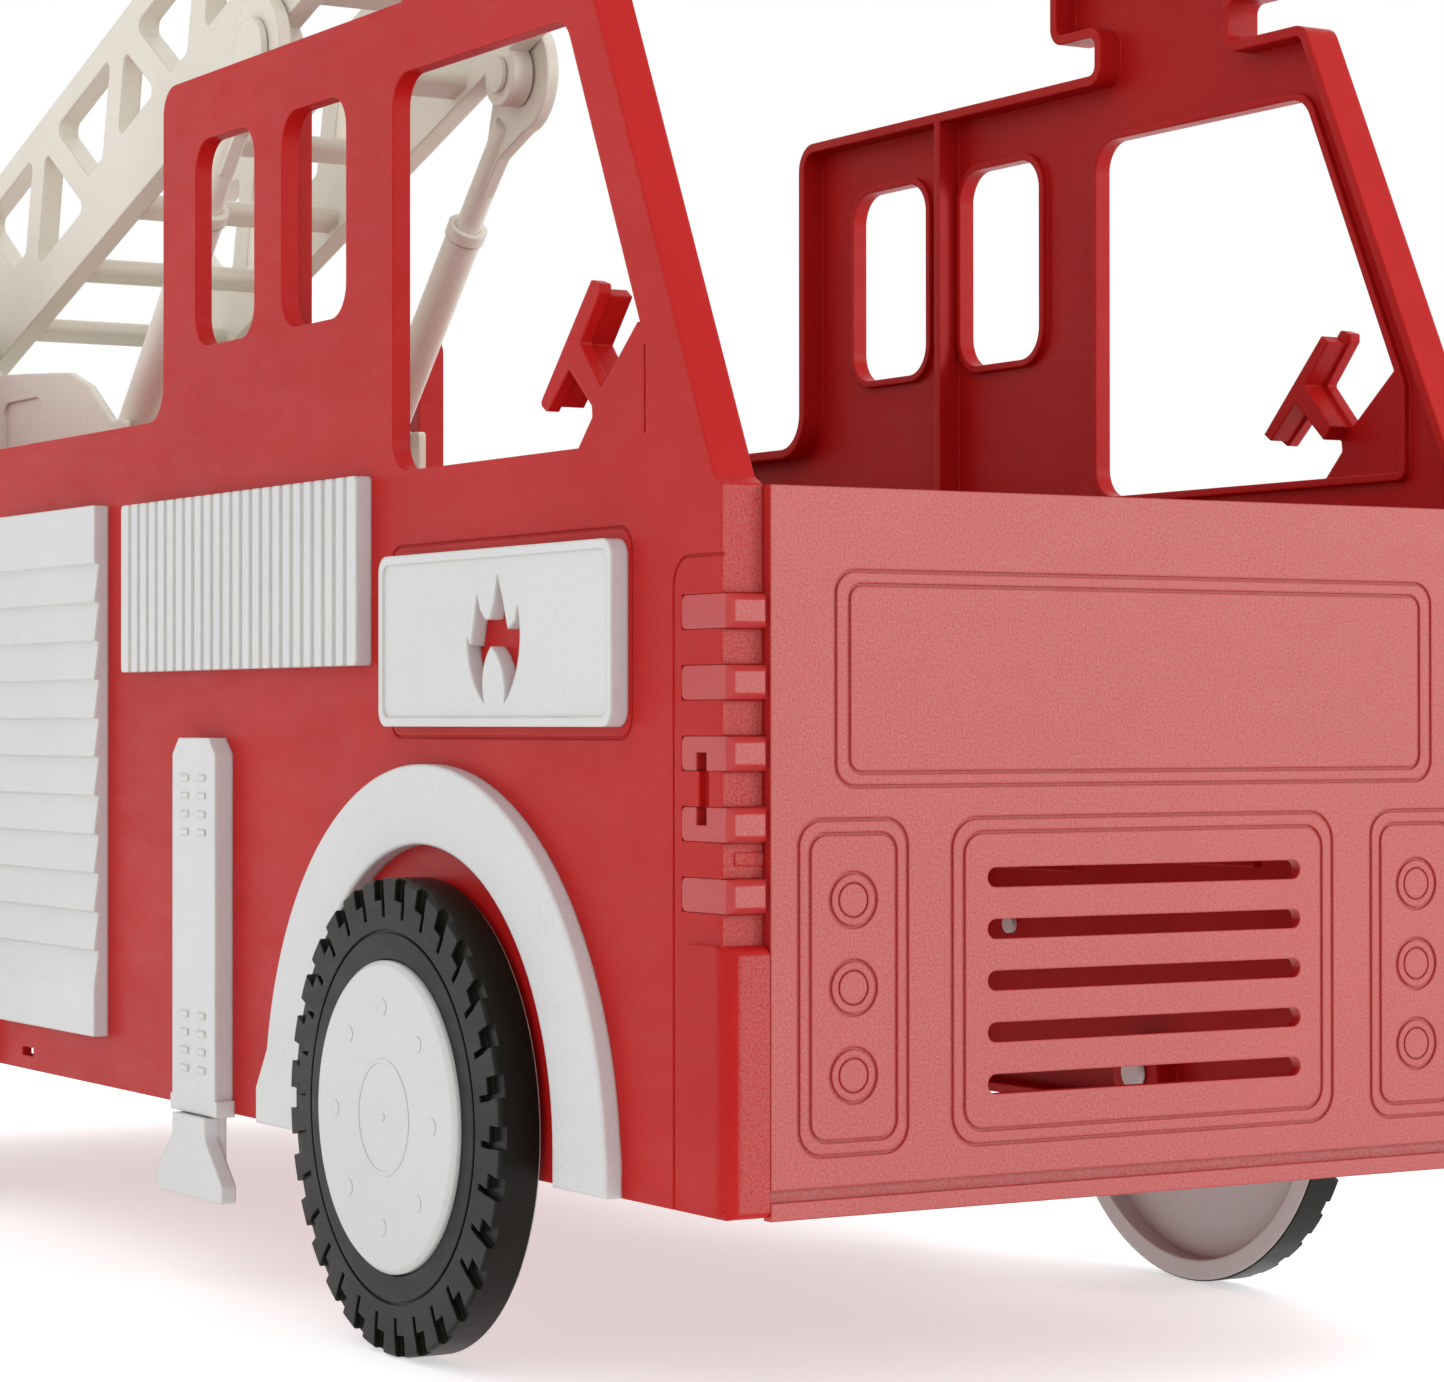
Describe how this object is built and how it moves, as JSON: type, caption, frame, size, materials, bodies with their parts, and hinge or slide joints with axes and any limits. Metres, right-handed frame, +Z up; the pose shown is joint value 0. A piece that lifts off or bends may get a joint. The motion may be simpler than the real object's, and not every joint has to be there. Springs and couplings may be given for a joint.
{
  "type": "toy fire engine",
  "caption": "Clip-together plastic toy fire engine with an open cab, free wheels, pull-down stabilisers and a ladder that rises on telescopic struts.",
  "frame": {"origin": "on the ground, midway between the outer faces of the front and rear panels and midway between the side panels", "axes": "+X forward, +Y to the vehicle's left, +Z up"},
  "size_m": [0.76, 0.2894, 0.5441],
  "materials": {
    "body_red": "moulded polyethylene, satin sheen",
    "grained_red": "fine spark-eroded grain",
    "trim_white": "clean white moulding, soft gloss",
    "ladder_white": "warm off-white moulding, soft gloss",
    "hub_white": "off-white moulding, soft gloss",
    "tyre_black": "soft black moulding, slight sheen"
  },
  "bodies": {
    "body": {"floor_panel": "body_red", "front_panel": "grained_red", "ladder_base": "ladder_white", "left_emblem_plate": "trim_white", "left_front_wheel_arch": "trim_white", "left_ladder_hinge_pin": "ladder_white", "left_rear_wheel_arch": "trim_white", "left_shutter": "trim_white", "left_side_panel": "body_red", "left_stabiliser_sleeve": "trim_white", "left_strut_lower_pin": "ladder_white", "left_vent_plate": "trim_white", "rear_deck": "body_red", "rear_panel": "grained_red", "right_emblem_plate": "trim_white", "right_front_wheel_arch": "trim_white", "right_ladder_hinge_pin": "ladder_white", "right_rear_wheel_arch": "trim_white", "right_shutter": "trim_white", "right_side_panel": "body_red", "right_stabiliser_sleeve": "trim_white", "right_strut_lower_pin": "ladder_white", "right_vent_plate": "trim_white"},
    "right_front_wheel": {"right_front_hub": "hub_white", "right_front_tyre": "tyre_black"},
    "right_rear_wheel": {"right_rear_hub": "hub_white", "right_rear_tyre": "tyre_black"},
    "left_front_wheel": {"left_front_hub": "hub_white", "left_front_tyre": "tyre_black"},
    "left_rear_wheel": {"left_rear_hub": "hub_white", "left_rear_tyre": "tyre_black"},
    "ladder": {"ladder": "ladder_white", "right_strut_upper_pin": "ladder_white", "left_strut_upper_pin": "ladder_white"},
    "right_strut_barrel": {"right_strut_barrel": "ladder_white"},
    "right_strut_rod": {"right_strut_rod": "ladder_white"},
    "right_stabiliser_foot": {"right_stabiliser_foot": "trim_white"},
    "left_strut_barrel": {"left_strut_barrel": "ladder_white"},
    "left_strut_rod": {"left_strut_rod": "ladder_white"},
    "left_stabiliser_foot": {"left_stabiliser_foot": "trim_white"}
  },
  "joints": [
    {"name": "right_front_wheel_spin", "type": "hinge", "parent": "body", "child": "right_front_wheel", "pos_m": [0.2235, -0.12, 0.065], "axis": [0, 1, 0], "continuous": true},
    {"name": "right_rear_wheel_spin", "type": "hinge", "parent": "body", "child": "right_rear_wheel", "pos_m": [-0.2235, -0.12, 0.065], "axis": [0, 1, 0], "continuous": true},
    {"name": "left_front_wheel_spin", "type": "hinge", "parent": "body", "child": "left_front_wheel", "pos_m": [0.2235, 0.12, 0.065], "axis": [0, 1, 0], "continuous": true},
    {"name": "left_rear_wheel_spin", "type": "hinge", "parent": "body", "child": "left_rear_wheel", "pos_m": [-0.2235, 0.12, 0.065], "axis": [0, 1, 0], "continuous": true},
    {"name": "ladder_raise", "type": "hinge", "parent": "body", "child": "ladder", "pos_m": [-0.348, 0, 0.324], "axis": [0, -1, 0], "range_deg": [0, 20]},
    {"name": "right_barrel_swing", "type": "hinge", "parent": "body", "child": "right_strut_barrel", "pos_m": [-0.1802, -0.052, 0.275], "axis": [0, -1, 0], "range_deg": [0, 25]},
    {"name": "right_rod_slide", "type": "slide", "parent": "right_strut_barrel", "child": "right_strut_rod", "axis": [0.6858, 0, 0.7278], "range_m": [0, 0.058]},
    {"name": "right_foot_slide", "type": "slide", "parent": "body", "child": "right_stabiliser_foot", "axis": [0, 0, -1], "range_m": [0, 0.024]},
    {"name": "left_barrel_swing", "type": "hinge", "parent": "body", "child": "left_strut_barrel", "pos_m": [-0.1802, 0.052, 0.275], "axis": [0, -1, 0], "range_deg": [0, 25]},
    {"name": "left_rod_slide", "type": "slide", "parent": "left_strut_barrel", "child": "left_strut_rod", "axis": [0.6858, 0, 0.7278], "range_m": [0, 0.058]},
    {"name": "left_foot_slide", "type": "slide", "parent": "body", "child": "left_stabiliser_foot", "axis": [0, 0, -1], "range_m": [0, 0.024]}
  ],
  "couplings": [
    {"joint": "right_barrel_swing", "follows": "ladder_raise", "ratio": 1.245},
    {"joint": "right_rod_slide", "follows": "ladder_raise", "m_per_rad": 0.166},
    {"joint": "left_barrel_swing", "follows": "ladder_raise", "ratio": 1.245},
    {"joint": "left_rod_slide", "follows": "ladder_raise", "m_per_rad": 0.166}
  ]
}
